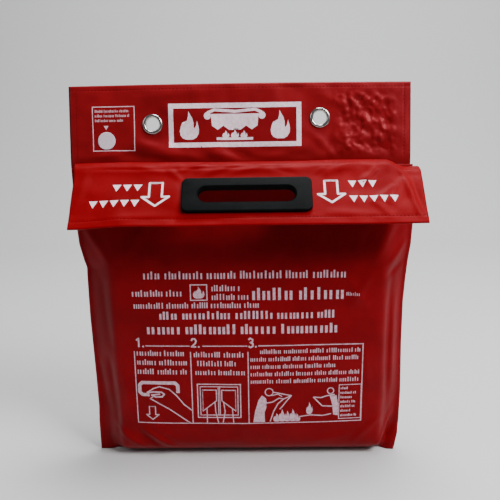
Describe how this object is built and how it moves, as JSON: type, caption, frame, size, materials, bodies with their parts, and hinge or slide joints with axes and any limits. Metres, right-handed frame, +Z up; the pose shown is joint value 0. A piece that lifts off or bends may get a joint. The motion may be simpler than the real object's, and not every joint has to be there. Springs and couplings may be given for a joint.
{
  "type": "fire blanket",
  "caption": "Fire blanket folded in a soft red wall pouch with a hanging header and a pull flap that carries a finger grip.",
  "frame": {"origin": "on the base, under the seam plane where the front and back sheets meet, at the middle of the width", "axes": "+X to the viewer's right, +Y to the back, towards the wall, +Z up; the printed front faces -Y"},
  "size_m": [0.3037, 0.0684, 0.346],
  "materials": {
    "red_vinyl": "vinyl-coated fabric, semi-gloss",
    "black_tape": "hook-and-loop tape",
    "nickel": "nickel plated, semi-bright",
    "sticker": "matt self-adhesive paper",
    "black_plastic": "moulded, fine grain",
    "glass_cloth": "woven glass fibre, matt",
    "black_webbing": "woven webbing"
  },
  "bodies": {
    "pouch": {"back_panel": "red_vinyl", "header_facing": "red_vinyl", "loop_tape": "black_tape", "eyelet_left": "nickel", "eyelet_right": "nickel", "eyelet_washer_left": "nickel", "eyelet_washer_right": "nickel", "inspection_badge": "sticker", "pocket_front": "red_vinyl", "folded_blanket": "glass_cloth", "grab_tab_left": "black_webbing", "grab_tab_right": "black_webbing"},
    "throat": {"throat_panel": "red_vinyl", "hook_tape": "black_tape"},
    "flap": {"pull_flap": "red_vinyl", "grip_front_plate": "black_plastic", "grip_rear_plate": "black_plastic"}
  },
  "joints": [
    {"name": "mouth_open", "type": "hinge", "parent": "pouch", "child": "throat", "pos_m": [0, -0.018, 0.197], "axis": [1, 0, 0], "range_deg": [0, 110]},
    {"name": "flap_lift", "type": "hinge", "parent": "throat", "child": "flap", "pos_m": [0, -0.0065, 0.279], "axis": [-1, 0, 0], "range_deg": [-28, 120]}
  ]
}
